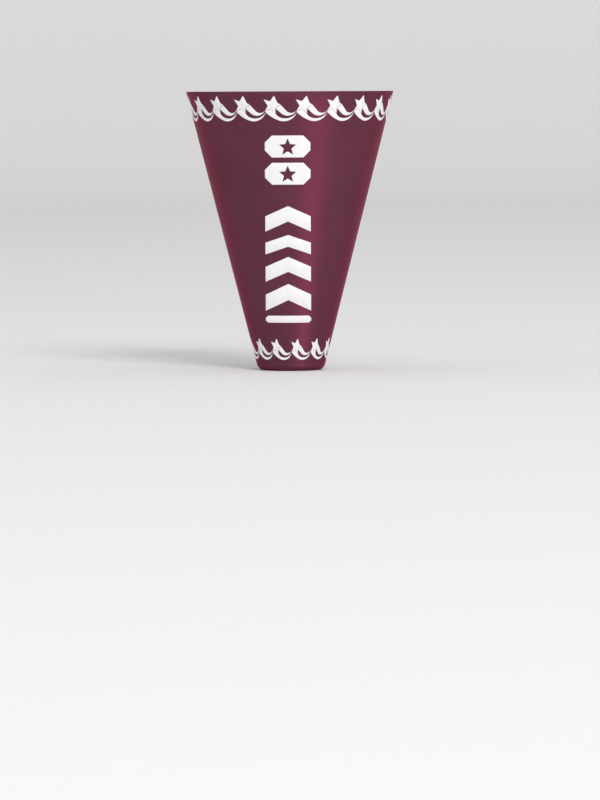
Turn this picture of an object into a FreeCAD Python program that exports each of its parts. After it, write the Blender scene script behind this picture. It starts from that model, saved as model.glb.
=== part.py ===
import FreeCAD, Part
import math
import os

from FreeCAD import Vector

# A cheer megaphone, standing on its mouth end, in millimetres.
# The origin is the middle of the mouth end's flat base, and +Z runs up to the bell.
# The front, with the white graphics, faces -Y. The sheet's seam is at the back, on +Y.

# ---- driving dimensions ----
LENGTH = 200.0            # mouth end to bell edge
BELL_RADIUS = 74.4        # outside, at the bell edge
MOUTH_RADIUS = 23.5       # outside, where the cone's line meets the base
SHEET = 0.9               # thickness of the rolled sheet

RING_HEIGHT = 6.0         # part of the mouth ring that shows below the sheet
LIP_RADIUS = 5.0          # outside rounding of the lip
RING_WALL = 2.0           # wall of the ring's channel
THROAT_RADIUS = 15.0      # the hole that is spoken into
THROAT_ROUNDING = 2.2     # rounding where the base turns up into the throat
THROAT_HEIGHT = 13.0      # top of the throat tube
SPIGOT_WALL = 1.3         # wall of the part that sits inside the sheet
SPIGOT_TOP = 18.0         # height of the spigot's top edge

SEAM_GAP = 0.3            # butt line between the sheet's two edges
TAB_WIDTH = 12.0          # lap of the tab behind the butt line
JOGGLE_WIDTH = 2.0        # width of the bend that steps the tab inwards
TAPE = 0.2                # thickness of the seam tape
TAPE_INSET = 0.5          # the tape stops this far short of the tab's edges
TAB_CLEARANCE = 1.0       # gap between the spigot and the tab's lower end

FILM = 0.2                # thickness of the white film transfers

BELL_MOTIFS = 20          # stars round the bell
BELL_PHASE = 8.0          # degrees from the front to the first star's centre
BELL_STAR_HEIGHT = 190.2  # height of the star centres
MOUTH_MOTIFS = 12         # stars round the mouth end
MOUTH_PHASE = 7.6
MOUTH_STAR_HEIGHT = 17.8
MOUTH_SQUEEZE = (0.60, 0.86)  # width and height of a mouth motif, as shares of a bell motif's

# corners of a bell motif's leaning star from its centre: tip, notch, tip, notch... anticlockwise
STAR = (
    (1.8, 6.7), (-1.4, 2.8), (-5.8, 4.1), (-3.0, -0.4), (-5.2, -4.1),
    (-1.2, -2.4), (2.4, -6.0), (2.2, -1.8), (6.2, 0.5), (4.1, 1.5),
)
# the lower tail: a first bend under the star and its end, the belly, the tip, over the belly, and back
LOWER_TAIL = ((-1.6, -7.6), (3.0, -10.1), (10.6, -10.9), (17.2, -5.0), (10.7, -9.2), (4.0, -8.0))
# the upper tail: where its lower side starts to bend, the belly, the tip, over the belly, and back
UPPER_TAIL = ((5.9, -5.3), (12.2, -7.2), (16.9, -3.6), (13.2, -5.5), (9.7, -3.7))

COLUMN_X = -1.6           # middle of the front column
COLUMN_WIDTH = 32.2
PLATES = ((153.3, 168.8), (134.0, 149.5))                                # bottom and top heights
CHEVRONS = ((100.5, 118.7), (84.2, 98.1), (64.6, 82.4), (43.7, 63.0))
END_BAR = (35.1, 40.1)
PLATE_CHAMFER = 5.0
BAR_CHAMFER = 1.6
PLATE_STAR_RADIUS = 6.4   # centre to tip
PLATE_STAR_NOTCH = 2.9    # centre to notch
CHEVRON_RISE = 0.40       # how far a chevron's point stands up, as a share of its height

# ---- worked out from them ----
SLOPE = (BELL_RADIUS - MOUTH_RADIUS) / LENGTH
HALF_ANGLE = math.atan(SLOPE)
AXIS = Vector(0, 0, 1)
FAR = 200.0               # beyond everything, for cutting tools


def cone_radius(z, inwards=0.0):
    """Radius of the cone at height z, moved inwards by a distance measured square to the wall."""
    return MOUTH_RADIUS + SLOPE * z - inwards / math.cos(HALF_ANGLE)


def revolve(edges):
    """Solid turned about the Z axis from a closed outline in the XZ plane."""
    face = Part.Face(Part.Wire(edges))
    return face.revolve(Vector(0, 0, 0), AXIS, 360.0)


def polygon_edges(points):
    """Straight edges round a closed list of points."""
    ends = points[1:] + points[:1]
    return [Part.LineSegment(a, b).toShape() for a, b in zip(points, ends)]


def cone_shell(outer, inner, low, high):
    """Wall between two cones, each given by how far it lies inside the outside of the sheet."""
    points = [
        Vector(cone_radius(low, inner), 0, low),
        Vector(cone_radius(low, outer), 0, low),
        Vector(cone_radius(high, outer), 0, high),
        Vector(cone_radius(high, inner), 0, high),
    ]
    return revolve(polygon_edges(points))


def back_slab(x_low, x_high):
    """Block at the back of the cone, between two planes across X."""
    return Part.makeBox(x_high - x_low, FAR, 2 * FAR, Vector(x_low, 0, -FAR / 2))


# ---- the rolled sheet ----
def horn_sheet():
    """One sheet rolled into a cone, with a tab that steps inwards and laps behind the butt line."""
    wall = cone_shell(0, SHEET, RING_HEIGHT, LENGTH)
    wall = wall.cut(back_slab(-SEAM_GAP / 2, SEAM_GAP / 2))
    tab_low = SPIGOT_TOP + TAB_CLEARANCE
    tab = cone_shell(SHEET + TAPE, 2 * SHEET + TAPE, tab_low, LENGTH)
    tab = tab.common(back_slab(-JOGGLE_WIDTH, TAB_WIDTH))
    joggle = cone_shell(SHEET, SHEET + TAPE, tab_low, LENGTH)
    joggle = joggle.common(back_slab(-JOGGLE_WIDTH, -SEAM_GAP / 2))
    return wall.fuse([joggle, tab]).removeSplitter()


def seam_tape():
    """Double-sided tape between the tab and the sheet's other edge."""
    low = SPIGOT_TOP + TAB_CLEARANCE + TAPE_INSET
    strip = cone_shell(SHEET, SHEET + TAPE, low, LENGTH - TAPE_INSET)
    return strip.common(back_slab(SEAM_GAP / 2 + TAPE_INSET, TAB_WIDTH - TAPE_INSET))


# ---- the moulded mouth ring ----
def mouth_ring():
    """Channel-shaped ring: rounded lip, throat tube, and a spigot that fits inside the sheet."""
    step = RING_HEIGHT
    spigot_out = SHEET
    spigot_in = SHEET + SPIGOT_WALL
    base_out = MOUTH_RADIUS
    channel_floor = RING_WALL
    throat_out = THROAT_RADIUS + RING_WALL
    points = [
        Vector(THROAT_RADIUS, 0, 0),
        Vector(base_out, 0, 0),
        Vector(cone_radius(step), 0, step),
        Vector(cone_radius(step, spigot_out), 0, step),
        Vector(cone_radius(SPIGOT_TOP, spigot_out), 0, SPIGOT_TOP),
        Vector(cone_radius(SPIGOT_TOP, spigot_in), 0, SPIGOT_TOP),
        Vector(cone_radius(step, spigot_in), 0, step),
        Vector(cone_radius(channel_floor, 2 * RING_WALL), 0, channel_floor),
        Vector(throat_out, 0, channel_floor),
        Vector(throat_out, 0, THROAT_HEIGHT),
        Vector(THROAT_RADIUS, 0, THROAT_HEIGHT),
    ]
    ring = revolve(polygon_edges(points))
    lip = [e for e in ring.Edges if is_ring_edge(e, base_out, 0)]
    throat = [e for e in ring.Edges if is_ring_edge(e, THROAT_RADIUS, 0)]
    rims = [e for e in ring.Edges if is_ring_edge(e, THROAT_RADIUS, THROAT_HEIGHT)]
    rims += [e for e in ring.Edges if is_ring_edge(e, throat_out, THROAT_HEIGHT)]
    ring = ring.makeFillet(LIP_RADIUS, lip)
    ring = ring.makeFillet(THROAT_ROUNDING, find_again(ring, throat))
    return ring.makeFillet(RING_WALL * 0.4, find_again(ring, rims))


def is_ring_edge(edge, radius, height):
    """True for a circle about the Z axis with this radius and height."""
    if not isinstance(edge.Curve, Part.Circle):
        return False
    return abs(edge.Curve.Radius - radius) < 1e-4 and abs(edge.Curve.Center.z - height) < 1e-4


def find_again(shape, edges):
    """The edges of a changed shape that are the same circles as these."""
    found = []
    for old in edges:
        found += [e for e in shape.Edges if is_ring_edge(e, old.Curve.Radius, old.Curve.Center.z)]
    return found


# ---- the white film graphics ----
def flat_point(u, v):
    """A point of a flat outline, seen from the front: u to the right and v up."""
    return Vector(u, 0, v)


def star_outline(tip_radius, notch_radius):
    """Upright five-pointed star about the origin."""
    corners = []
    for i in range(10):
        reach = tip_radius if i % 2 == 0 else notch_radius
        angle = math.radians(90.0 + 36.0 * i)
        corners.append(flat_point(reach * math.cos(angle), reach * math.sin(angle)))
    return polygon_edges(corners)


def motif_outline(squeeze):
    """Leaning star whose lower left and right arms run on into two tails, like a wave.

    The lower tail swings under the star from its lower left tip and comes back to the lower right
    one. The upper tail leaves the notch after that, and comes back to the right tip.
    """
    star, lower, upper = [
        [flat_point(u * squeeze[0], v * squeeze[1]) for u, v in points]
        for points in (STAR, LOWER_TAIL, UPPER_TAIL)
    ]
    edges = polygon_edges(star)[:4]
    edges.append(Part.Arc(star[4], lower[0], lower[1]).toShape())
    edges.append(Part.Arc(lower[1], lower[2], lower[3]).toShape())
    edges.append(Part.Arc(lower[3], lower[4], lower[5]).toShape())
    edges += polygon_edges([lower[5], star[6], star[7], upper[0]])[:3]
    edges.append(Part.Arc(upper[0], upper[1], upper[2]).toShape())
    edges.append(Part.Arc(upper[2], upper[3], upper[4]).toShape())
    edges += polygon_edges([upper[4], star[8], star[9], star[0]])[:3]
    return edges


def prism(edges):
    """Block that carries a flat outline from near the axis out through the front of the cone."""
    face = Part.Face(Part.Wire(edges))
    face.translate(Vector(0, -MOUTH_RADIUS / 4, 0))
    return face.extrude(Vector(0, -FAR, 0))


def film(block):
    """The part of a block that lies in the film's thickness on the outside of the sheet."""
    box = block.BoundBox
    skin = cone_shell(-FILM, 0, box.ZMin - 1, box.ZMax + 1)
    piece = block.common(skin)
    return piece.Solids[0]


def border(name, count, phase, height, squeeze):
    """The same motif all the way round, one node each, numbered from the front towards the right."""
    block = prism(motif_outline(squeeze))
    block.translate(Vector(0, 0, height))
    first = film(block)
    for i in range(count):
        piece = first.copy()
        piece.rotate(Vector(0, 0, 0), AXIS, phase + i * 360.0 / count)
        save("%s_motif_%02d" % (name, i + 1), piece)


def chamfered_outline(low, high, chamfer):
    """Rectangle of the column's width with its corners cut off."""
    half = COLUMN_WIDTH / 2
    corners = [
        (-half + chamfer, low), (half - chamfer, low), (half, low + chamfer), (half, high - chamfer),
        (half - chamfer, high), (-half + chamfer, high), (-half, high - chamfer), (-half, low + chamfer),
    ]
    return polygon_edges([flat_point(COLUMN_X + u, v) for u, v in corners])


def star_plate(low, high):
    """Chamfered plate with a star cut out of it."""
    plate = prism(chamfered_outline(low, high, PLATE_CHAMFER))
    star = prism(star_outline(PLATE_STAR_RADIUS, PLATE_STAR_NOTCH))
    # a star reaches further above its centre than below it, so it drops to look centred
    drop = PLATE_STAR_RADIUS * (1 - math.cos(math.radians(36))) / 2
    star.translate(Vector(COLUMN_X, 0, (low + high) / 2 - drop))
    return film(plate.cut(star))


def chevron(low, high):
    """Broad chevron that points up."""
    half = COLUMN_WIDTH / 2
    rise = (high - low) * CHEVRON_RISE
    underside = [(-half, low), (0, low + rise), (half, low)]
    top_side = [(half, high - rise), (0, high), (-half, high - rise)]
    corners = underside + top_side
    return film(prism(polygon_edges([flat_point(COLUMN_X + u, v) for u, v in corners])))


def save(name, shape):
    """One STEP file for each node."""
    shape.exportStep("parts/%s.step" % name)


os.makedirs("parts", exist_ok=True)
save("horn_sheet", horn_sheet())
save("seam_tape", seam_tape())
save("mouth_ring", mouth_ring())
border("bell", BELL_MOTIFS, BELL_PHASE, BELL_STAR_HEIGHT, (1.0, 1.0))
border("mouth", MOUTH_MOTIFS, MOUTH_PHASE, MOUTH_STAR_HEIGHT, MOUTH_SQUEEZE)
for number, (low, high) in enumerate(PLATES, start=1):
    save("star_plate_%d" % number, star_plate(low, high))
for number, (low, high) in enumerate(CHEVRONS, start=1):
    save("chevron_%d" % number, chevron(low, high))
save("end_bar", film(prism(chamfered_outline(END_BAR[0], END_BAR[1], BAR_CHAMFER))))
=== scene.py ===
"""Looks of a cheer megaphone: a rolled plastic cone with a moulded mouth ring and white film graphics."""
import math

import bmesh
import bpy
from bpy.props import FloatProperty, FloatVectorProperty, IntProperty, PointerProperty
from bpy.types import Operator, Panel, PropertyGroup
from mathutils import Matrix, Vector


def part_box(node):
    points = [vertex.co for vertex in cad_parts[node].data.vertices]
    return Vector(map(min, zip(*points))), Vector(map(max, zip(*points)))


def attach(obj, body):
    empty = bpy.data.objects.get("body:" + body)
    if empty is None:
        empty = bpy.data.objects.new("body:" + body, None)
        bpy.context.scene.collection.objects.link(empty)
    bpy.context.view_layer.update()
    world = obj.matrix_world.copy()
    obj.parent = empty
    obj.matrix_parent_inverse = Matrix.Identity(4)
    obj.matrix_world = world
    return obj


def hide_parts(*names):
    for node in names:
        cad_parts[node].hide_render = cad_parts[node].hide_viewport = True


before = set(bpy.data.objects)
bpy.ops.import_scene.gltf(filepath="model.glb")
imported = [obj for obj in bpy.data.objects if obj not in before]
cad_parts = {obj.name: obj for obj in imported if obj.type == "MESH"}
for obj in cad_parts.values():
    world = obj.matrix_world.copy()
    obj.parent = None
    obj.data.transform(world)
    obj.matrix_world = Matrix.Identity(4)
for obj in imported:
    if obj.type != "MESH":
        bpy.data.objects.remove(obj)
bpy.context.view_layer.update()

bl_info = {
    "name": "Cheer megaphone",
    "version": (1, 0, 0),
    "blender": (4, 5, 0),
    "location": "View3D > Sidebar > Megaphone",
    "description": "Models and dresses a cheer megaphone piece by piece",
    "category": "Object",
}

MM = 0.001
BODY = "root"
TAPE_INSET = 0.5 * MM   # the tape stops this far short of the tab's edges


# ---- what the frame says ----
def node_radius(node, height, near=0.2 * MM):
    """Largest distance from the Z axis of a CAD node's vertices at this height."""
    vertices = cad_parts[node].data.vertices
    return max(math.hypot(v.co.x, v.co.y) for v in vertices if abs(v.co.z - height) < near)


def nodes_named(start):
    """CAD nodes whose names start with these letters, in order."""
    return sorted(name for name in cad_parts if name.startswith(start))


SHEET_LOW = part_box("horn_sheet")[0].z
SHEET_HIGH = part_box("horn_sheet")[1].z
RADIUS_LOW = node_radius("horn_sheet", SHEET_LOW)
RADIUS_HIGH = node_radius("horn_sheet", SHEET_HIGH)
SLOPE = (RADIUS_HIGH - RADIUS_LOW) / (SHEET_HIGH - SHEET_LOW)
TILT = math.atan(SLOPE)
TAPE_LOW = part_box("seam_tape")[0].z
SPIGOT_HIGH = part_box("mouth_ring")[1].z


def cone_radius(z, depth=0.0):
    """Radius of the cone at a height, some way in from its outside."""
    return RADIUS_LOW + SLOPE * (z - SHEET_LOW) - depth / math.cos(TILT)


# ---- what a user would change ----
class MegaphoneSizes(PropertyGroup):
    """Sizes of the pieces."""

    sheet: FloatProperty(
        name="Sheet", description="Thickness of the rolled sheet", default=0.9 * MM, unit="LENGTH")
    seam_gap: FloatProperty(
        name="Seam gap", description="Butt line between the sheet's edges", default=0.3 * MM, unit="LENGTH")
    tab_width: FloatProperty(
        name="Tab", description="Lap of the tab behind the butt line", default=12 * MM, unit="LENGTH")
    tape: FloatProperty(
        name="Tape", description="Thickness of the seam tape", default=0.2 * MM, unit="LENGTH")
    columns: IntProperty(
        name="Columns", description="Faces round the cone", default=288, min=48, max=720)
    rows: IntProperty(
        name="Rows", description="Faces along the cone", default=26, min=4, max=80)
    lip_radius: FloatProperty(
        name="Lip", description="Outside rounding of the mouth ring", default=5 * MM, unit="LENGTH")
    ring_wall: FloatProperty(
        name="Ring wall", description="Wall of the ring's channel", default=2 * MM, unit="LENGTH")
    throat_radius: FloatProperty(
        name="Throat", description="Radius of the hole that is spoken into", default=15 * MM, unit="LENGTH")
    throat_height: FloatProperty(
        name="Throat height", description="Top of the throat tube", default=13 * MM, unit="LENGTH")
    spigot_wall: FloatProperty(
        name="Spigot wall", description="Wall of the part inside the sheet", default=1.3 * MM, unit="LENGTH")
    film: FloatProperty(
        name="Film", description="Thickness of the white film", default=0.2 * MM, unit="LENGTH")
    fine_line: FloatProperty(
        name="Fine line", description="Line left between a star and its tails", default=0.26 * MM,
        unit="LENGTH")
    plate_star_tip: FloatProperty(
        name="Plate star tip", description="Centre to tip of a plate's star", default=6.4 * MM, unit="LENGTH")
    plate_star_notch: FloatProperty(
        name="Plate star notch", description="Centre to notch of it", default=2.9 * MM, unit="LENGTH")


class MegaphoneColours(PropertyGroup):
    """Colours of the finishes."""

    maroon: FloatVectorProperty(
        name="Maroon", description="Pigment of the sheet and the ring", subtype="COLOR", size=3,
        min=0, max=1, default=(0.124, 0.039, 0.061))
    sheen: FloatVectorProperty(
        name="Sheen", description="Tint of the plastic's gloss", subtype="COLOR", size=3,
        min=0, max=1, default=(0.85, 0.12, 0.34))
    white: FloatVectorProperty(
        name="White", description="White of the film", subtype="COLOR", size=3,
        min=0, max=1, default=(0.88, 0.87, 0.872))
    floor: FloatVectorProperty(
        name="Floor", description="Floor and backdrop", subtype="COLOR", size=3,
        min=0, max=1, default=(0.80, 0.79, 0.79))


# ---- working by hand, in code ----
def start_clean():
    """Nothing is selected, and Blender is in object mode."""
    if bpy.context.object and bpy.context.object.mode != "OBJECT":
        bpy.ops.object.mode_set(mode="OBJECT")
    bpy.ops.object.select_all(action="DESELECT")


def edit(action="DESELECT"):
    """Edit the active piece with nothing selected, or with everything."""
    bpy.ops.object.mode_set(mode="EDIT")
    bpy.ops.mesh.select_all(action=action)


def leave_edit():
    bpy.ops.object.mode_set(mode="OBJECT")


def choose_only(piece):
    """Select one piece and make it active."""
    start_clean()
    piece.select_set(True)
    bpy.context.view_layer.objects.active = piece


def place_vertices(piece, place):
    """Give every vertex the place that a function works out from its number and where it is."""
    for vertex in piece.data.vertices:
        vertex.co = place(vertex.index, vertex.co.copy())
    piece.data.update()


def settle(piece):
    """Put the piece's place into its mesh."""
    choose_only(piece)
    bpy.ops.object.transform_apply(location=True, rotation=True, scale=True)


def apply_modifier(piece, kind, **settings):
    """Add a modifier, set it and apply it."""
    choose_only(piece)
    modifier = piece.modifiers.new(kind.title(), kind)
    for name, value in settings.items():
        setattr(modifier, name, value)
    bpy.ops.object.modifier_apply(modifier=modifier.name)


def face_outwards(piece):
    """All faces of a closed shell point outwards."""
    choose_only(piece)
    edit("SELECT")
    bpy.ops.mesh.normals_make_consistent(inside=False)
    leave_edit()


def join_into(piece, others):
    """Join other pieces into this one."""
    choose_only(piece)
    for other in others:
        other.select_set(True)
    bpy.ops.object.join()
    return piece


def hand_over(piece, name, node, material, smooth=30):
    """Name the finished piece, dress it, and put it in place of its CAD node."""
    choose_only(piece)
    bpy.ops.object.shade_smooth_by_angle(angle=math.radians(smooth))
    piece.name = name
    piece.data.name = name
    piece.data.materials.clear()
    piece.data.materials.append(material)
    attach(piece, BODY)
    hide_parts(node)


# ---- finishes ----
class Finish:
    """A material's node tree, with short ways to add to it."""

    def __init__(self, name):
        self.material = bpy.data.materials.new(name)
        self.material.use_nodes = True
        self.nodes = self.material.node_tree.nodes
        self.links = self.material.node_tree.links
        self.shader = self.nodes["Principled BSDF"]
        self.place = self.nodes.new("ShaderNodeTexCoord").outputs["Object"]

    def set(self, **sockets):
        for name, value in sockets.items():
            self.shader.inputs[name.replace("_", " ")].default_value = value

    def link(self, source, target):
        if isinstance(source, (int, float)):
            target.default_value = source
        else:
            self.links.new(source, target)

    def math(self, operation, a, b=0.0, clamp=False):
        node = self.nodes.new("ShaderNodeMath")
        node.operation = operation
        node.use_clamp = clamp
        self.link(a, node.inputs[0])
        self.link(b, node.inputs[1])
        return node.outputs[0]

    def parts(self):
        node = self.nodes.new("ShaderNodeSeparateXYZ")
        self.links.new(self.place, node.inputs[0])
        return node.outputs

    def vector(self, x, y, z):
        node = self.nodes.new("ShaderNodeCombineXYZ")
        for source, target in zip((x, y, z), node.inputs):
            self.link(source, target)
        return node.outputs[0]

    def noise(self, scale, detail=2.0, roughness=0.5, at=None, distortion=0.0):
        node = self.nodes.new("ShaderNodeTexNoise")
        node.inputs["Scale"].default_value = scale
        node.inputs["Detail"].default_value = detail
        node.inputs["Roughness"].default_value = roughness
        node.inputs["Distortion"].default_value = distortion
        self.links.new(at or self.place, node.inputs["Vector"])
        return node.outputs["Fac"]

    def spread(self, value, low, high, to_low=0.0, to_high=1.0, smooth=False):
        node = self.nodes.new("ShaderNodeMapRange")
        node.interpolation_type = "SMOOTHSTEP" if smooth else "LINEAR"
        self.link(value, node.inputs["Value"])
        for name, number in (("From Min", low), ("From Max", high), ("To Min", to_low), ("To Max", to_high)):
            node.inputs[name].default_value = number
        return node.outputs["Result"]

    def mix(self, share, a, b):
        node = self.nodes.new("ShaderNodeMix")
        node.data_type = "RGBA"
        self.link(share, node.inputs["Factor"])
        for source, target in ((a, node.inputs[6]), (b, node.inputs[7])):
            if isinstance(source, (tuple, list)):
                target.default_value = (*source[:3], 1.0)
            else:
                self.links.new(source, target)
        return node.outputs[2]

    def bump(self, height, distance, strength=1.0, after=None):
        node = self.nodes.new("ShaderNodeBump")
        node.inputs["Strength"].default_value = strength
        node.inputs["Distance"].default_value = distance
        self.links.new(height, node.inputs["Height"])
        if after is not None:
            self.links.new(after, node.inputs["Normal"])
        return node.outputs["Normal"]

    def round_axis(self, stretch_round, stretch_along):
        """Place on the unrolled cone: distance round, radius and height, each stretched."""
        x, y, z = self.parts()
        radius = self.math("SQRT", self.math("ADD", self.math("MULTIPLY", x, x), self.math("MULTIPLY", y, y)))
        # sine and cosine of the way round have no jump at the back
        across = self.math("MULTIPLY", self.math("DIVIDE", x, radius), stretch_round)
        deep = self.math("MULTIPLY", self.math("DIVIDE", y, radius), stretch_round)
        return self.vector(across, deep, self.math("MULTIPLY", z, stretch_along))

    def colour(self, source):
        self.links.new(source, self.shader.inputs["Base Color"])

    def roughness(self, source):
        self.links.new(source, self.shader.inputs["Roughness"])

    def normal(self, source):
        self.links.new(source, self.shader.inputs["Normal"])


def shade(colour, factor):
    """The same colour, lighter or darker."""
    return tuple(min(1.0, channel * factor) for channel in colour)


def scuff_mask(finish, edge_low, edge_high):
    """Broken wear that grows from one height to another."""
    z = finish.parts()[2]
    along = finish.spread(z, edge_low, edge_high, smooth=True)
    grain = finish.noise(900.0, 3.0, 0.6)
    return finish.spread(finish.math("ADD", finish.math("MULTIPLY", along, 0.62), grain), 0.98, 1.12)


def maroon_plastic(name, colours, edge, roughness):
    """Dark maroon plastic: soft gloss with draw lines along the cone, grain, dust and worn edges."""
    finish = Finish(name)
    base = tuple(colours.maroon)
    cloud = finish.noise(34.0, 3.0, 0.55)
    colour = finish.mix(finish.spread(cloud, 0.3, 0.7), shade(base, 0.94), shade(base, 1.07))
    lines = finish.noise(1.0, 3.0, 0.6, at=finish.round_axis(160.0, 9.0))
    colour = finish.mix(finish.spread(lines, 0.35, 0.75, 0.0, 0.35), colour, shade(base, 1.12))
    specks = finish.spread(finish.noise(1500.0, 1.0, 0.5), 0.77, 0.83)
    colour = finish.mix(finish.math("MULTIPLY", specks, 0.35), colour, shade(base, 2.2))
    scuffs = scuff_mask(finish, *edge)
    worn = tuple(0.55 * channel + 0.10 for channel in shade(base, 2.4))
    colour = finish.mix(finish.math("MULTIPLY", scuffs, 0.55), colour, worn)
    finish.colour(colour)
    smudges = finish.noise(19.0, 4.0, 0.6, distortion=0.6)
    rough = finish.spread(smudges, 0.3, 0.75, roughness - 0.03, roughness + 0.06)
    rough = finish.math("ADD", rough, finish.spread(lines, 0.3, 0.8, -0.015, 0.03))
    rough = finish.math("ADD", rough, finish.math("MULTIPLY", scuffs, 0.2), clamp=True)
    finish.roughness(rough)
    peel = finish.bump(finish.noise(420.0, 2.0, 0.5), 0.03 * MM, 0.5)
    drawn = finish.bump(lines, 0.05 * MM, 0.5, after=peel)
    nicks = finish.noise(1.0, 1.0, 0.5, at=finish.round_axis(420.0, 60.0))
    finish.normal(finish.bump(finish.spread(nicks, 0.70, 0.78), 0.02 * MM, 0.5, after=drawn))
    finish.set(IOR=1.5, Specular_Tint=(*colours.sheen, 1.0), Metallic=0.7)
    return finish.material


def white_film(name, colours):
    """White film: close to white, faintly mottled, with a fine tooth and a few worn specks."""
    finish = Finish(name)
    white = tuple(colours.white)
    mottle = finish.noise(260.0, 4.0, 0.65)
    colour = finish.mix(finish.spread(mottle, 0.30, 0.72), shade(white, 0.93), shade(white, 1.02))
    bare = finish.spread(finish.noise(1300.0, 3.0, 0.7, distortion=0.4), 0.715, 0.77)
    colour = finish.mix(finish.math("MULTIPLY", bare, 0.55), colour, (0.42, 0.28, 0.31))
    finish.colour(colour)
    finish.roughness(finish.spread(finish.noise(90.0, 3.0, 0.5), 0.3, 0.7, 0.38, 0.52))
    tooth = finish.bump(finish.noise(2600.0, 2.0, 0.6), 0.02 * MM, 0.6)
    finish.normal(finish.bump(mottle, 0.03 * MM, 0.5, after=tooth))
    finish.set(IOR=1.46)
    return finish.material


def tape_paper(name):
    """Double-sided tape: milky film with a fibrous grain."""
    finish = Finish(name)
    fibres = finish.noise(1.0, 4.0, 0.7, at=finish.round_axis(900.0, 300.0))
    finish.colour(finish.mix(finish.spread(fibres, 0.3, 0.7), (0.62, 0.58, 0.50), (0.78, 0.75, 0.68)))
    finish.roughness(finish.spread(fibres, 0.3, 0.7, 0.55, 0.75))
    finish.normal(finish.bump(fibres, 0.02 * MM, 0.5))
    return finish.material


def stage_paper(name, colours):
    """Pale seamless paper for the floor and backdrop."""
    finish = Finish(name)
    floor = tuple(colours.floor)
    grain = finish.noise(120.0, 3.0, 0.6)
    finish.colour(finish.mix(grain, shade(floor, 0.985), shade(floor, 1.015)))
    finish.roughness(finish.spread(grain, 0.2, 0.8, 0.85, 0.95))
    finish.set(Specular_IOR_Level=0.2)
    return finish.material


def finish_named(name, make, *values):
    """The material of this name, made the first time it is asked for."""
    return bpy.data.materials.get(name) or make(name, *values)


# ---- the horn ----
def rolled_strip(name, plan, heights):
    """Sheet surface: a grid whose columns follow a path in plan and whose rows follow these heights."""
    start_clean()
    width = len(plan(heights[0]))
    bpy.ops.mesh.primitive_grid_add(
        x_subdivisions=width - 1, y_subdivisions=len(heights) - 1, size=MM, location=(0, 0, 0))
    strip = bpy.context.object
    strip.name = name
    paths = [plan(z) for z in heights]

    def roll(number, _):
        row, column = divmod(number, width)
        x, y = paths[row][column]
        return Vector((x, y, heights[row]))

    place_vertices(strip, roll)
    return strip


def even_steps(low, high, steps):
    return [low + (high - low) * i / steps for i in range(steps + 1)]


class MEGAPHONE_OT_roll_horn(Operator):
    """Roll the sheet into a cone with a butt line at the back and a tab that laps inside it"""

    bl_idname = "megaphone.roll_horn"
    bl_label = "Roll the horn"

    def execute(self, context):
        sizes = context.scene.megaphone_sizes
        half_gap = sizes.seam_gap / 2
        heights = even_steps(SHEET_LOW, SHEET_HIGH, sizes.rows)

        def wall_plan(z):
            radius = cone_radius(z)
            lip = math.asin(half_gap / radius)
            turns = even_steps(math.pi / 2 - lip, lip - 1.5 * math.pi, sizes.columns)
            return [(radius * math.cos(a), radius * math.sin(a)) for a in turns]

        # the tab starts under the wall's own edge, steps in by the tape's thickness, and runs on
        tab_start, tab_end = -2 * MM, sizes.tab_width
        bend_start, bend_end = -0.5 * MM, 1.2 * MM

        def tab_plan(z):
            path = []
            for x in even_steps(tab_start, bend_end, 8) + even_steps(bend_end, tab_end, 12)[1:]:
                share = min(1.0, max(0.0, (x - bend_start) / (bend_end - bend_start)))
                ease = share * share * (3 - 2 * share)
                radius = cone_radius(z, sizes.sheet + sizes.tape * ease)
                path.append((x, math.sqrt(radius * radius - x * x)))
            return list(reversed(path))

        wall = rolled_strip("wall", wall_plan, heights)
        tab_low = TAPE_LOW - TAPE_INSET
        tab = rolled_strip("tab", tab_plan, even_steps(tab_low, SHEET_HIGH, sizes.rows))
        for strip, low in ((wall, SHEET_LOW), (tab, tab_low)):
            self.point_outwards(strip)
            apply_modifier(strip, "SOLIDIFY", thickness=sizes.sheet, offset=-1.0, use_even_offset=True)
            self.level_ends(strip, low, SHEET_HIGH)
            apply_modifier(
                strip, "BEVEL", width=0.14 * MM, segments=3, limit_method="ANGLE",
                angle_limit=math.radians(50), harden_normals=False)
        horn = join_into(wall, [tab])
        colours = context.scene.megaphone_colours
        plastic = finish_named(
            "maroon_sheet", maroon_plastic, colours, (SHEET_HIGH - 1.6 * MM, SHEET_HIGH), 0.36)
        hand_over(horn, "horn", "horn_sheet", plastic, smooth=40)
        return {"FINISHED"}

    @staticmethod
    def point_outwards(strip):
        """The faces of an open strip point away from the axis."""
        face = strip.data.polygons[0]
        outwards = Vector((face.center.x, face.center.y, 0))
        if face.normal.dot(outwards) < 0:
            strip.data.flip_normals()

    @staticmethod
    def level_ends(strip, low, high):
        """The cut ends lie level, as trimmed, after the wall got its thickness square to the cone."""
        reach = 0.5 * MM
        for vertex in strip.data.vertices:
            height = low if vertex.co.z < low + reach else high
            if abs(vertex.co.z - height) > reach:
                continue
            radius = math.hypot(vertex.co.x, vertex.co.y)
            grown = 1 + (height - vertex.co.z) * SLOPE / radius
            vertex.co = (vertex.co.x * grown, vertex.co.y * grown, height)
        strip.data.update()


# ---- the mouth ring ----
RING_STEPS = 192        # faces round the turned ring


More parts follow.
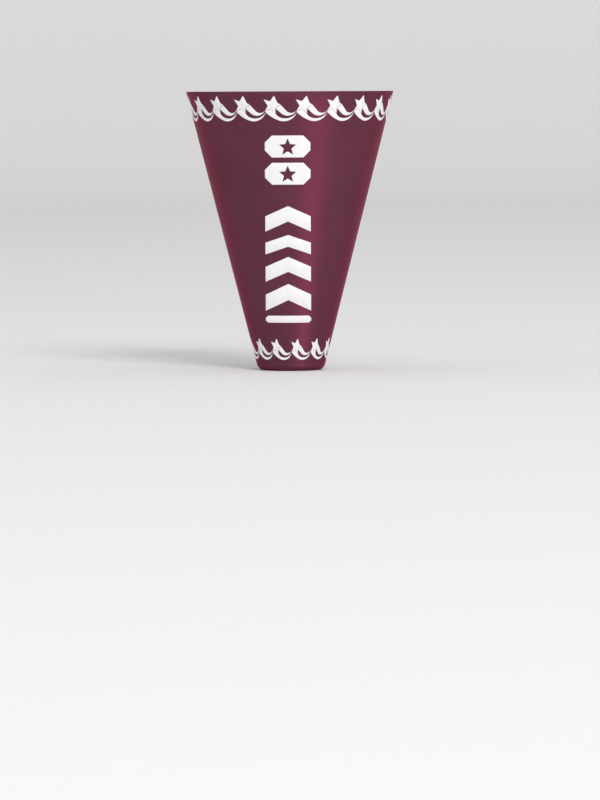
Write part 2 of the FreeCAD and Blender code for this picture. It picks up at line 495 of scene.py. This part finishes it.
def trace_profile(points):
    """Closed wire in the XZ plane, drawn by extruding one vertex from point to point."""
    start_clean()
    bpy.ops.mesh.primitive_plane_add(size=MM, location=(0, 0, 0))
    piece = bpy.context.object
    edit("SELECT")
    bpy.ops.mesh.merge(type="CENTER")
    first = Vector((points[0][0], 0, points[0][1]))
    bpy.ops.transform.translate(value=first)
    here = first
    for radius, height in points[1:]:
        there = Vector((radius, 0, height))
        bpy.ops.mesh.extrude_vertices_move(TRANSFORM_OT_translate={"value": there - here})
        here = there
    bpy.ops.mesh.select_all(action="SELECT")
    mesh = bmesh.from_edit_mesh(piece.data)
    mesh.verts.ensure_lookup_table()
    ends = [v for v in mesh.verts if len(v.link_edges) == 1]
    for vertex in mesh.verts:
        vertex.select_set(vertex in ends)
    mesh.select_flush_mode()
    bmesh.update_edit_mesh(piece.data)
    bpy.ops.mesh.edge_face_add()
    leave_edit()
    return piece


def round_corner(piece, place, radius, segments):
    """Round one corner of a profile."""
    choose_only(piece)
    edit()
    mesh = bmesh.from_edit_mesh(piece.data)
    for vertex in mesh.verts:
        vertex.select_set((vertex.co - place).length < 0.02 * MM)
    mesh.select_flush_mode()
    bmesh.update_edit_mesh(piece.data)
    bpy.ops.mesh.bevel(offset=radius, segments=segments, affect="VERTICES", offset_type="OFFSET")
    leave_edit()


class MEGAPHONE_OT_mould_ring(Operator):
    """Turn the mouth ring: rounded lip, throat tube, and a spigot inside the sheet"""

    bl_idname = "megaphone.mould_ring"
    bl_label = "Mould the mouth ring"

    def execute(self, context):
        sizes = context.scene.megaphone_sizes
        wall = sizes.ring_wall
        throat = sizes.throat_radius
        throat_out = throat + wall
        spigot_in = sizes.sheet + sizes.spigot_wall
        base = cone_radius(0.0)
        corner = math.pi / 2 + TILT
        points = [
            (throat, 0.0),
            (base, 0.0),
            (cone_radius(SHEET_LOW), SHEET_LOW),
            (cone_radius(SHEET_LOW, sizes.sheet), SHEET_LOW),
            (cone_radius(SPIGOT_HIGH, sizes.sheet), SPIGOT_HIGH),
            (cone_radius(SPIGOT_HIGH, spigot_in), SPIGOT_HIGH),
            (cone_radius(SHEET_LOW, spigot_in), SHEET_LOW),
            (cone_radius(wall, 2 * wall), wall),
            (throat_out, wall),
            (throat_out, sizes.throat_height),
            (throat, sizes.throat_height),
        ]
        # (corner, distance from it to where the rounding starts, segments)
        roundings = (
            (1, sizes.lip_radius / math.tan(corner / 2), 14),
            (0, 2.2 * MM, 10),
            (2, 0.10 * MM, 2),
            (4, 0.25 * MM, 3),
            (5, 0.35 * MM, 4),
            (7, 0.8 * MM, 5),
            (8, 0.8 * MM, 5),
            (9, 0.8 * MM, 6),
            (10, 0.8 * MM, 6),
        )
        ring = trace_profile(points)
        for number, reach, segments in roundings:
            place = Vector((points[number][0], 0, points[number][1]))
            round_corner(ring, place, reach, segments)
        choose_only(ring)
        edit("SELECT")
        bpy.ops.mesh.spin(
            steps=RING_STEPS, angle=math.tau, center=(0, 0, 0), axis=(0, 0, 1), use_auto_merge=True)
        bpy.ops.mesh.select_all(action="SELECT")
        bpy.ops.mesh.remove_doubles(threshold=0.001 * MM)
        leave_edit()
        face_outwards(ring)
        colours = context.scene.megaphone_colours
        plastic = finish_named("maroon_ring", maroon_plastic, colours, (1.2 * MM, -0.4 * MM), 0.34)
        hand_over(ring, "lip_ring", "mouth_ring", plastic, smooth=35)
        return {"FINISHED"}


# ---- the white film ----
SINK = 0.04 * MM        # how far the film's underside lies in the sheet, so that nothing flickers
FILM_STEP = 2.0 * MM    # greatest width of a film face round the cone
IN_FRONT = -1.5 * RADIUS_HIGH    # where a flat shape stands before it is pressed on the horn
STAR_ROUNDING = 0.12 * MM
PLATE_CHAMFER = 5.0 * MM
BAR_CHAMFER = 1.6 * MM
CHEVRON_RISE = 0.40     # how far a chevron's point rises, as a share of its height

# corners of a bell motif's leaning star from its centre, in millimetres: tip, notch, tip, notch...
STAR = (
    (1.8, 6.7), (-1.4, 2.8), (-5.8, 4.1), (-3.0, -0.4), (-5.2, -4.1),
    (-1.2, -2.4), (2.4, -6.0), (2.2, -1.8), (6.2, 0.5), (4.1, 1.5),
)
# the lower tail: a first bend under the star and its end, the belly, the tip, over the belly, and back
LOWER_TAIL = ((-1.6, -7.6), (3.0, -10.1), (10.6, -10.9), (17.2, -5.0), (10.7, -9.2), (4.0, -8.0))
# the upper tail: where its lower side starts to bend, the belly, the tip, over the belly, and back
UPPER_TAIL = ((5.9, -5.3), (12.2, -7.2), (16.9, -3.6), (13.2, -5.5), (9.7, -3.7))
# name, degrees from the front to the first star, height of the star centres, squeeze of the motif
BORDERS = (("bell", 8.0, 190.2, (1.0, 1.0)), ("mouth", 7.6, 17.8, (0.60, 0.86)))


def star_points(tip_radius, notch_radius):
    """Corners of an upright five-pointed star: tip, notch, tip, notch... anticlockwise."""
    corners = []
    for i in range(10):
        reach = tip_radius if i % 2 == 0 else notch_radius
        angle = math.radians(90.0 + 36.0 * i)
        corners.append((reach * math.cos(angle), reach * math.sin(angle)))
    return corners


def arc_through(start, middle, end, steps=14):
    """Points on the circle through three points, from the first up to but without the last."""
    ax, ay = start
    bx, by = middle
    cx, cy = end
    twice = 2 * (ax * (by - cy) + bx * (cy - ay) + cx * (ay - by))
    squares = [ax * ax + ay * ay, bx * bx + by * by, cx * cx + cy * cy]
    ox = (squares[0] * (by - cy) + squares[1] * (cy - ay) + squares[2] * (ay - by)) / twice
    oy = (squares[0] * (cx - bx) + squares[1] * (ax - cx) + squares[2] * (bx - ax)) / twice
    radius = math.hypot(ax - ox, ay - oy)
    angles = [math.atan2(y - oy, x - ox) for x, y in (start, middle, end)]
    sweep = (angles[2] - angles[0]) % math.tau
    if (angles[1] - angles[0]) % math.tau > sweep:
        sweep -= math.tau
    turns = [angles[0] + sweep * i / steps for i in range(steps)]
    return [(ox + radius * math.cos(a), oy + radius * math.sin(a)) for a in turns]


def flat_shape(outline, filled=True):
    """Flat piece in front of the horn, from a circle whose points are moved to an outline."""
    start_clean()
    bpy.ops.mesh.primitive_circle_add(
        vertices=len(outline), radius=MM, fill_type="NGON" if filled else "NOTHING", location=(0, 0, 0))
    piece = bpy.context.object
    place_vertices(piece, lambda number, _: Vector((outline[number][0], IN_FRONT, outline[number][1])))
    return piece


def round_points(piece, reach, segments=3):
    """Round every corner of a flat outline a little."""
    choose_only(piece)
    edit("SELECT")
    bpy.ops.mesh.bevel(offset=reach, segments=segments, affect="VERTICES", offset_type="OFFSET")
    leave_edit()


def cut_across(piece):
    """Cut a flat shape into upright strips, narrow enough to bend round the cone."""
    choose_only(piece)
    bpy.ops.object.mode_set(mode="EDIT")
    reach = [v.co.x for v in piece.data.vertices]
    low, high = min(reach), max(reach)
    cuts = max(2, math.ceil((high - low) / FILM_STEP))
    for x in even_steps(low, high, cuts)[1:-1]:
        bpy.ops.mesh.select_all(action="SELECT")
        bpy.ops.mesh.bisect(plane_co=(x, 0, 0), plane_no=(1, 0, 0))
    leave_edit()


def lay_on_horn(piece, thickness):
    """Press a flat shape on the front of the horn and give it its thickness."""
    cut_across(piece)
    horn = bpy.data.objects["horn"]
    apply_modifier(
        piece, "SHRINKWRAP", target=horn, wrap_method="PROJECT", use_project_y=True,
        use_positive_direction=True, use_negative_direction=False, offset=0.0)
    MEGAPHONE_OT_roll_horn.point_outwards(piece)
    apply_modifier(
        piece, "SOLIDIFY", thickness=thickness + SINK, offset=1.0 - 2.0 * SINK / (thickness + SINK),
        use_even_offset=True)
    face_outwards(piece)
    apply_modifier(
        piece, "BEVEL", width=0.05 * MM, segments=2, limit_method="ANGLE", angle_limit=math.radians(60))
    apply_modifier(piece, "TRIANGULATE", quad_method="BEAUTY", ngon_method="BEAUTY")


def turned_copy(first, degrees):
    """Copy of a piece with its own mesh, turned about the cone's axis."""
    choose_only(first)
    bpy.ops.object.duplicate(linked=False)
    copy = bpy.context.object
    bpy.ops.transform.rotate(
        value=-math.radians(degrees), orient_axis="Z", center_override=(0, 0, 0), orient_type="GLOBAL")
    settle(copy)
    return copy


def check_place(piece, node, slack=0.6 * MM):
    """Stop if a piece isn't where its CAD node is."""
    low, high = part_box(node)
    corners = [v.co for v in piece.data.vertices]
    for axis in range(3):
        least = min(c[axis] for c in corners)
        most = max(c[axis] for c in corners)
        if abs(least - low[axis]) > slack or abs(most - high[axis]) > slack:
            raise RuntimeError("%s isn't where %s is" % (piece.name, node))


def motif(height, squeeze, fine_line):
    """Leaning star and its two tails, with a fine line between them."""
    star, lower, upper = [
        [(u * squeeze[0] * MM, v * squeeze[1] * MM + height) for u, v in points]
        for points in (STAR, LOWER_TAIL, UPPER_TAIL)
    ]
    roots = [(u, v - fine_line) for u, v in star]
    lower_tail = arc_through(roots[4], lower[0], lower[1]) + arc_through(lower[1], lower[2], lower[3])
    lower_tail += arc_through(lower[3], lower[4], lower[5]) + [lower[5], roots[6], roots[5]]
    upper_tail = arc_through(upper[0], upper[1], upper[2]) + arc_through(upper[2], upper[3], upper[4])
    upper_tail += [upper[4], roots[8], roots[7]]
    pieces = [flat_shape(outline) for outline in (star, lower_tail, upper_tail)]
    round_points(pieces[0], STAR_ROUNDING, 2)
    return join_into(pieces[0], pieces[1:])


class MEGAPHONE_OT_lay_borders(Operator):
    """Lay the star and wave film all round the bell and the mouth end"""

    bl_idname = "megaphone.lay_borders"
    bl_label = "Lay the borders"

    def execute(self, context):
        sizes = context.scene.megaphone_sizes
        film = finish_named("white_film", white_film, context.scene.megaphone_colours)
        for name, phase, height, squeeze in BORDERS:
            nodes = nodes_named(name + "_motif_")
            first = motif(height * MM, squeeze, sizes.fine_line)
            lay_on_horn(first, sizes.film)
            for i, node in enumerate(nodes):
                piece = turned_copy(first, phase + i * 360.0 / len(nodes))
                check_place(piece, node)
                hand_over(piece, node.replace("motif", "star"), node, film)
            bpy.data.objects.remove(first)
        return {"FINISHED"}


def column_middle():
    """Middle of the front column, from its end bar."""
    low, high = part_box("end_bar")
    return (low.x + high.x) / 2


def plate(node, tip_radius, notch_radius):
    """Chamfered plate with a star cut out of it."""
    low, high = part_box(node)
    middle = (low.z + high.z) / 2
    outline = chamfered(low, high, PLATE_CHAMFER)
    # a star reaches further above its centre than below it, so it drops to look centred
    drop = tip_radius * (1 - math.cos(math.radians(36))) / 2
    star = [(column_middle() + u, middle - drop + v) for u, v in star_points(tip_radius, notch_radius)]
    edge = flat_shape(outline, filled=False)
    hole = flat_shape(star, filled=False)
    round_points(hole, STAR_ROUNDING, 2)
    join_into(edge, [hole])
    edit("SELECT")
    bpy.ops.mesh.fill(use_beauty=True)
    leave_edit()
    return edge


def chamfered(low, high, cut):
    """Rectangle with its corners cut off."""
    return [
        (low.x + cut, low.z), (high.x - cut, low.z), (high.x, low.z + cut), (high.x, high.z - cut),
        (high.x - cut, high.z), (low.x + cut, high.z), (low.x, high.z - cut), (low.x, low.z + cut),
    ]


def chevron(node):
    """Broad chevron that points up."""
    low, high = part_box(node)
    middle = (low.x + high.x) / 2
    rise = (high.z - low.z) * CHEVRON_RISE
    outline = [
        (low.x, low.z), (middle, low.z + rise), (high.x, low.z),
        (high.x, high.z - rise), (middle, high.z), (low.x, high.z - rise),
    ]
    piece = flat_shape(outline)
    round_points(piece, 0.25 * MM)
    return piece


class MEGAPHONE_OT_lay_column(Operator):
    """Lay the plates, chevrons and bar down the front"""

    bl_idname = "megaphone.lay_column"
    bl_label = "Lay the front column"

    def execute(self, context):
        sizes = context.scene.megaphone_sizes
        film = finish_named("white_film", white_film, context.scene.megaphone_colours)
        star = (sizes.plate_star_tip, sizes.plate_star_notch)
        shapes = [(node, plate(node, *star)) for node in nodes_named("star_plate_")]
        shapes += [(node, chevron(node)) for node in nodes_named("chevron_")]
        bar = flat_shape(chamfered(*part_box("end_bar"), BAR_CHAMFER))
        shapes.append(("end_bar", bar))
        for node, piece in shapes:
            lay_on_horn(piece, sizes.film)
            check_place(piece, node)
            hand_over(piece, node + "_film", node, film)
        return {"FINISHED"}


class MEGAPHONE_OT_dress_tape(Operator):
    """Give the seam tape its finish"""

    bl_idname = "megaphone.dress_tape"
    bl_label = "Dress the seam tape"

    def execute(self, context):
        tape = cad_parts["seam_tape"]
        material = finish_named("seam_tape_paper", tape_paper)
        if not tape.data.materials:
            tape.data.materials.append(material)
        for slot in tape.material_slots:
            slot.material = material
        return {"FINISHED"}


# ---- the stage ----
KEY_PLACE, KEY_SIZE = (2.6, -7.5, 5.2), (3.4, 3.4)
# the cone leans out, so it mirrors what is low in front of it
STRIP_PLACE, STRIP_SIZE = (0.49, -0.70, -0.40), (0.20, 0.34)
FLAT_FLOOR, LEVEL_FLOOR = 5.2, 5.8    # radius of the floor's middle, and of all that lies level
FLOOR_CURVE, CURVE_STEPS = 1.2, 16
CAMERA_AIM = Vector((0.0063, 0, -0.022))
CAMERA_ROLL = -0.28     # degrees


class StageSettings(PropertyGroup):
    """Lights and camera."""

    camera_distance: FloatProperty(
        name="Camera distance", description="Lens to horn", default=4.0, unit="LENGTH")
    lens: FloatProperty(
        name="Lens", description="Focal length in millimetres", default=250.0, unit="CAMERA")
    key_power: FloatProperty(
        name="Key", description="Watts of the large soft light", default=480.0, unit="POWER")
    strip_power: FloatProperty(
        name="Strip", description="Watts of the low strip light", default=1.4, unit="POWER")
    strip_tint: FloatVectorProperty(
        name="Strip tint", description="Colour of the low strip light", subtype="COLOR", size=3,
        min=0, max=1, default=(1.0, 0.3, 0.7))
    sky: FloatProperty(name="Sky", description="Strength of the even light", default=0.70)


def area_light(name, place, aim, size, power, colour=(1.0, 1.0, 1.0)):
    """Rectangular soft light that points at a place."""
    start_clean()
    direction = Vector(aim) - Vector(place)
    turn = direction.to_track_quat("-Z", "Y").to_euler()
    bpy.ops.object.light_add(type="AREA", location=place, rotation=turn)
    light = bpy.context.object
    light.name = name
    light.data.shape = "RECTANGLE"
    light.data.size, light.data.size_y = size
    light.data.energy = power
    light.data.color = colour
    return light


class MEGAPHONE_OT_set_stage(Operator):
    """Round floor that curves up at its edge, soft lights and the camera"""

    bl_idname = "megaphone.set_stage"
    bl_label = "Set the stage"

    def execute(self, context):
        settings = context.scene.megaphone_stage
        self.lay_floor(context)
        self.set_world(settings)
        area_light("key", KEY_PLACE, (0, 0, 0.11), KEY_SIZE, settings.key_power)
        strip = area_light(
            "strip", STRIP_PLACE, (0, 0, 0.1), STRIP_SIZE, settings.strip_power, tuple(settings.strip_tint))
        self.light_only_plastic(strip)
        self.aim_camera(context, settings)
        return {"FINISHED"}

    @staticmethod
    def lay_floor(context):
        """A round floor whose edge curves up all the way round, so that no view shows where it ends."""
        start_clean()
        bpy.ops.mesh.primitive_circle_add(
            vertices=128, radius=FLAT_FLOOR, fill_type="NGON", location=(0, 0, 0))
        floor = context.object
        floor.name = "floor"
        edit()
        bpy.ops.mesh.select_mode(type="EDGE")
        bpy.ops.mesh.select_all(action="SELECT")
        rings = [(LEVEL_FLOOR, 0.0)]
        for turn in even_steps(0, math.pi / 2, CURVE_STEPS)[1:]:
            rings.append((LEVEL_FLOOR + FLOOR_CURVE * math.sin(turn), FLOOR_CURVE * (1 - math.cos(turn))))
        reach, rise = FLAT_FLOOR, 0.0
        for next_reach, next_rise in rings:
            bpy.ops.mesh.extrude_edges_move(TRANSFORM_OT_translate={"value": (0, 0, next_rise - rise)})
            growth = next_reach / reach
            bpy.ops.transform.resize(value=(growth, growth, 1.0), center_override=(0, 0, 0))
            reach, rise = next_reach, next_rise
        bpy.ops.mesh.select_mode(type="VERT")
        leave_edit()
        bpy.ops.object.shade_smooth()
        paper = finish_named("stage_paper", stage_paper, context.scene.megaphone_colours)
        floor.data.materials.append(paper)

    @staticmethod
    def light_only_plastic(light):
        """The light falls on the maroon plastic alone, where it draws a soft band down the cone."""
        lit = bpy.data.collections.new("lit by the strip")
        for name in ("horn", "lip_ring"):
            lit.objects.link(bpy.data.objects[name])
        light.light_linking.receiver_collection = lit
        light.light_linking.blocker_collection = lit

    @staticmethod
    def set_world(settings):
        world = bpy.data.worlds.new("soft sky")
        bpy.context.scene.world = world
        world.use_nodes = True
        sky = world.node_tree.nodes["Background"]
        sky.inputs["Color"].default_value = (1.0, 1.0, 1.0, 1.0)
        sky.inputs["Strength"].default_value = settings.sky
        bpy.context.scene.view_settings.view_transform = "Standard"
        bpy.context.scene.view_settings.look = "None"

    @staticmethod
    def aim_camera(context, settings):
        """Level with the bell's rim, looking a little down, with a slight roll."""
        start_clean()
        rise = SHEET_HIGH - CAMERA_AIM.z
        away = math.sqrt(settings.camera_distance ** 2 - rise ** 2)
        place = CAMERA_AIM + Vector((0, -away, rise))
        turn = (CAMERA_AIM - place).to_track_quat("-Z", "Y")
        bpy.ops.object.camera_add(location=place, rotation=turn.to_euler())
        camera = context.object
        camera.name = "camera"
        camera.data.lens = settings.lens
        camera.data.sensor_width = 36.0
        camera.data.clip_end = 50.0
        camera.rotation_euler.rotate_axis("Z", math.radians(CAMERA_ROLL))
        context.scene.camera = camera


class MEGAPHONE_PT_panel(Panel):
    """Everything that makes the megaphone"""

    bl_label = "Cheer megaphone"
    bl_idname = "MEGAPHONE_PT_panel"
    bl_space_type = "VIEW_3D"
    bl_region_type = "UI"
    bl_category = "Megaphone"

    def draw(self, context):
        for operator in OPERATORS:
            self.layout.operator(operator.bl_idname)
        for group in (context.scene.megaphone_sizes, context.scene.megaphone_colours,
                      context.scene.megaphone_stage):
            for name in group.bl_rna.properties.keys():
                if name not in {"rna_type", "name"}:
                    self.layout.prop(group, name)


OPERATORS = (
    MEGAPHONE_OT_roll_horn,
    MEGAPHONE_OT_mould_ring,
    MEGAPHONE_OT_dress_tape,
    MEGAPHONE_OT_lay_borders,
    MEGAPHONE_OT_lay_column,
    MEGAPHONE_OT_set_stage,
)
GROUPS = (
    ("megaphone_sizes", MegaphoneSizes),
    ("megaphone_colours", MegaphoneColours),
    ("megaphone_stage", StageSettings),
)


def register():
    for name, group in GROUPS:
        bpy.utils.register_class(group)
        setattr(bpy.types.Scene, name, PointerProperty(type=group))
    for item in (*OPERATORS, MEGAPHONE_PT_panel):
        bpy.utils.register_class(item)


def unregister():
    for item in (MEGAPHONE_PT_panel, *reversed(OPERATORS)):
        bpy.utils.unregister_class(item)
    for name, group in reversed(GROUPS):
        delattr(bpy.types.Scene, name)
        bpy.utils.unregister_class(group)


def main():
    register()
    bpy.ops.megaphone.roll_horn()
    bpy.ops.megaphone.mould_ring()
    bpy.ops.megaphone.dress_tape()
    bpy.ops.megaphone.lay_borders()
    bpy.ops.megaphone.lay_column()
    bpy.ops.megaphone.set_stage()


if __name__ == "__main__":
    main()
